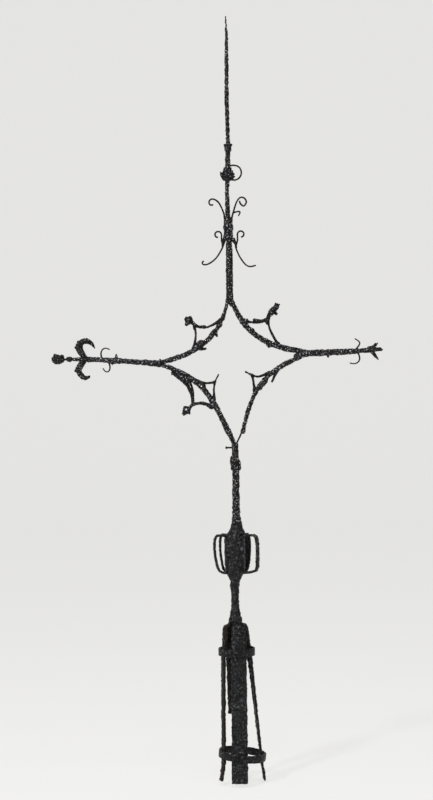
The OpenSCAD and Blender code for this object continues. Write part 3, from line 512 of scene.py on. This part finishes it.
def shape(node, material, voxel, smooth, relief, seed, swelling, weld, reach):
    """Replaces a CAD node by a skin of its own with welds, hammer marks and pits."""
    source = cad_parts[node].data
    bm = bmesh.new()
    bm.from_mesh(source)
    bmesh.ops.remove_doubles(bm, verts=bm.verts, dist=1e-6)
    for row in EXTRAS.get(node, ()):
        chain(bm, [station[:3] for station in row], [station[3] for station in row])
    obj = remeshed(bm, node + "_iron", voxel)
    mesh = obj.data
    edges = edges_of(mesh)
    co = spread(co_of(mesh), edges, smooth)
    if node in LEANS:
        low, high, shift = LEANS[node]
        t = np.clip((co[:, 2] / MM - low) / (high - low), 0, 1)
        co[:, 0] += shift * MM * t * t * (3 - 2 * t)
    set_co(mesh, co)
    p = co / MM
    normal = normals_of(mesh)
    wave, hammer, hammer_size, pit, pit_size, lumps = relief
    d = wave * layered_noise(p, WAVE_SIZE, seed, 2)
    near, second, own = cells(p, hammer_size, seed + 100)
    edge = np.clip((second - near) * 2.2, 0, 1)
    d += hammer * (edge * 0.5 - near * 0.9 + (own - 0.5) * 0.7)
    near, _, own = cells(p, pit_size, seed + 200)
    bowl = np.clip(1 - near / PIT_WIDTH, 0, 1)
    d -= pit * bowl * bowl * (own > PIT_SPARED)
    d += lumps * layered_noise(p, LUMP_SIZE, seed + 300, 2)
    d = spread(d, edges, 1)
    d += swelling - d.mean() - shrinkage(co, source)
    if weld:
        d += spread(weld * beside(node, co, reach) ** 2, edges, 3)
    set_co(mesh, co + normal * (d * MM)[:, None])
    hollow = spread(d, edges, 8) - d
    store(mesh, "hollow", np.clip(hollow / HOLLOW_DEPTH, -1, 1))
    # Painted glint spots and rust stains are stored as attributes.
    for kind in ("painted_glint", "rust"):
        mark = np.zeros(len(p))
        for x, y, z, radius, what in SPOTS.get(node, ()):
            if what == kind:
                away = np.linalg.norm(p - (x, y, z), axis=1) / radius
                mark = np.maximum(mark, np.clip(1.3 - away, 0, 1))
        store(mesh, kind, mark)
    mesh.polygons.foreach_set("use_smooth", [True] * len(mesh.polygons))
    mesh.materials.clear()
    mesh.materials.append(material)
    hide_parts(node)
    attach(obj, ROOT)


# mesh size, smoothing rounds, (wave, hammer, hammer size, pit, pit size, lumps),
# swelling, weld and weld reach, in millimetres
STYLES = {
    "rod": (1.12, 7, (0.6, 1.0, 6.2, 1.0, 4.2, 1.5), 0.35, 0, 0),
    "spike": (0.95, 9, (0.45, 0.9, 5.6, 0.8, 3.8, 1.2), 0.4, 0, 0),
    "rough": (1.35, 2, (0.6, 0.9, 6.2, 1.2, 4.4, 1.7), 0.3, 0, 0),
    "strap": (1.55, 2, (0.6, 0.5, 6.5, 1.1, 4.4, 1.7), 0.25, 0, 0),
    "hoop": (1.4, 2, (0.5, 0.7, 8.0, 0.7, 4.5, 0.5), 0.2, 0, 0),
    "leaf": (0.78, 2, (0.25, 0.9, 4.6, 0.7, 3.2, 0.6), 0.35, 0.8, 9),
    "tendril": (0.7, 2, (0.35, 0.6, 4.2, 0.5, 3.0, 0.5), 0.45, 2.0, 9),
    "wire": (0.56, 2, (0.2, 0.25, 3.5, 0.2, 2.6, 0.2), 0.4, 0.5, 4),
}
KINDS = {
    "mast": "spike", "mast_knop": "leaf", "mast_flower": "leaf", "scroll_binding": "rough",
    "shaft": "rod", "shaft_collar": "rough", "knob": "rough", "neck": "rod",
    "left_end_bud": "leaf", "left_arm_bead": "leaf", "right_flower": "leaf",
    "left_leaf_upper": "leaf", "left_leaf_lower": "leaf",
    "strap_front": "strap", "strap_left": "strap", "strap_right": "strap", "strap_back": "strap",
    "hoop_upper": "hoop", "hoop_lower": "hoop", "left_arm": "rod", "right_arm": "rod",
}
WIRES = ("mast_loop", "mast_scroll", "mast_curl", "mast_twig", "left_arm_scroll",
         "right_arm_scroll", "bar_link", "shaft_pin")
SOCKET = ("strap_", "hoop_", "knob", "handle_", "neck")
for count, name in enumerate(sorted(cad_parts)):
    kind = KINDS.get(name)
    if kind is None:
        if name.startswith("bar_") and name != "bar_link":
            kind = "rod"
        elif name.startswith(WIRES):
            kind = "wire"
        elif name.startswith(("bud_", "handle_")):
            kind = "leaf"
        else:
            kind = "tendril"
    voxel, smooth, relief, swelling, weld, reach = STYLES[kind]
    if kind == "wire":
        look = WORN
    # The left strap gets the copy of the iron that is painted as lit from the left.
    elif name == "strap_left":
        look = BROWN
    else:
        look = DULL if name.startswith(SOCKET) else BLACK
    shape(name, look, voxel, smooth, relief, 1000 + 13 * count, swelling, weld, reach)


# ---------------------------------------------------------------- studio
def plain(name, colour, glow):
    """A matt surface that seen directly, in a mirror or through glass is mostly an even glow."""
    mat = bpy.data.materials.new(name)
    mat.use_nodes = True
    t = mat.node_tree
    t.nodes.clear()
    link = t.links.new
    out = node_of(t, "ShaderNodeOutputMaterial")
    matt = node_of(t, "ShaderNodeBsdfDiffuse")
    matt.inputs["Color"].default_value = (*colour, 1)
    even = node_of(t, "ShaderNodeEmission")
    even.inputs["Color"].default_value = (*colour, 1)
    even.inputs["Strength"].default_value = 1
    rays = node_of(t, "ShaderNodeLightPath")
    seen = rays.outputs["Is Camera Ray"]
    for other in ("Is Glossy Ray", "Is Transmission Ray"):
        either = node_of(t, "ShaderNodeMath", operation="MAXIMUM")
        link(seen, either.inputs[0])
        link(rays.outputs[other], either.inputs[1])
        seen = either.outputs[0]
    share = node_of(t, "ShaderNodeMath", operation="MULTIPLY")
    share.inputs[1].default_value = glow
    link(seen, share.inputs[0])
    both = node_of(t, "ShaderNodeMixShader")
    link(share.outputs[0], both.inputs[0])
    link(matt.outputs[0], both.inputs[1])
    link(even.outputs[0], both.inputs[2])
    link(both.outputs[0], out.inputs["Surface"])
    return mat


def floor_sheet():
    """Floor and backdrop in one sheet with a wide curve between them."""
    half, front, back, curve, high = 14.0, -14.0, 12.0, 3.0, 12.0
    low = -0.004
    line = [(front, low), (back - curve, low)]
    for i in range(1, 13):
        a = math.pi / 2 * i / 12
        line.append((back - curve + curve * math.sin(a), low + curve * (1 - math.cos(a))))
    line.append((back, high))
    bm = bmesh.new()
    rows = [[bm.verts.new((x, y, z)) for x in (-half, half)] for y, z in line]
    for r0, r1 in zip(rows, rows[1:]):
        bm.faces.new((r0[0], r0[1], r1[1], r1[0]))
    mesh = bpy.data.meshes.new("studio_floor")
    bm.to_mesh(mesh)
    bm.free()
    mesh.polygons.foreach_set("use_smooth", [True] * len(mesh.polygons))
    obj = bpy.data.objects.new("studio_floor", mesh)
    bpy.context.scene.collection.objects.link(obj)
    mesh.materials.append(plain("studio_paper", (0.92, 0.915, 0.90), 0.8))
    return obj


floor_sheet()


def lamp(name, at, look, size, watts, colour=(1, 1, 1)):
    data = bpy.data.lights.new(name, "AREA")
    data.shape = "DISK"
    data.size = size
    data.energy = watts
    data.color = colour
    obj = bpy.data.objects.new(name, data)
    obj.location = at
    obj.rotation_euler = (Vector(look) - Vector(at)).to_track_quat("-Z", "Y").to_euler()
    bpy.context.scene.collection.objects.link(obj)


lamp("key", (-2.3, -3.4, 3.1), (0, 0, 1.0), 0.55, 140, (0.97, 0.985, 1.0))
lamp("fill", (2.8, -3.4, 1.7), (0, 0, 1.0), 1.2, 27, (0.95, 0.97, 1.0))
lamp("top", (0.1, -1.2, 4.4), (0, 0, 0.9), 0.9, 56, (1, 1, 1))
world = bpy.data.worlds.new("studio")
world.use_nodes = True
world.node_tree.nodes["Background"].inputs["Color"].default_value = (0.92, 0.95, 1.0, 1)
world.node_tree.nodes["Background"].inputs["Strength"].default_value = 0.18
bpy.context.scene.world = world

# ---------------------------------------------------------------- camera
EYE = Vector((-0.0426, -4.505, 1.013))
ROLL = math.radians(1.157)
cam_data = bpy.data.cameras.new("camera")
cam_data.lens = 76.5
cam_data.sensor_width = 36
cam_data.clip_end = 50
camera = bpy.data.objects.new("camera", cam_data)
camera.matrix_world = (Matrix.Translation(EYE) @ Matrix.Rotation(ROLL, 4, "Y")
                       @ Matrix.Rotation(math.pi / 2, 4, "X"))
bpy.context.scene.collection.objects.link(camera)
bpy.context.scene.camera = camera
bpy.context.scene.view_settings.view_transform = "Standard"
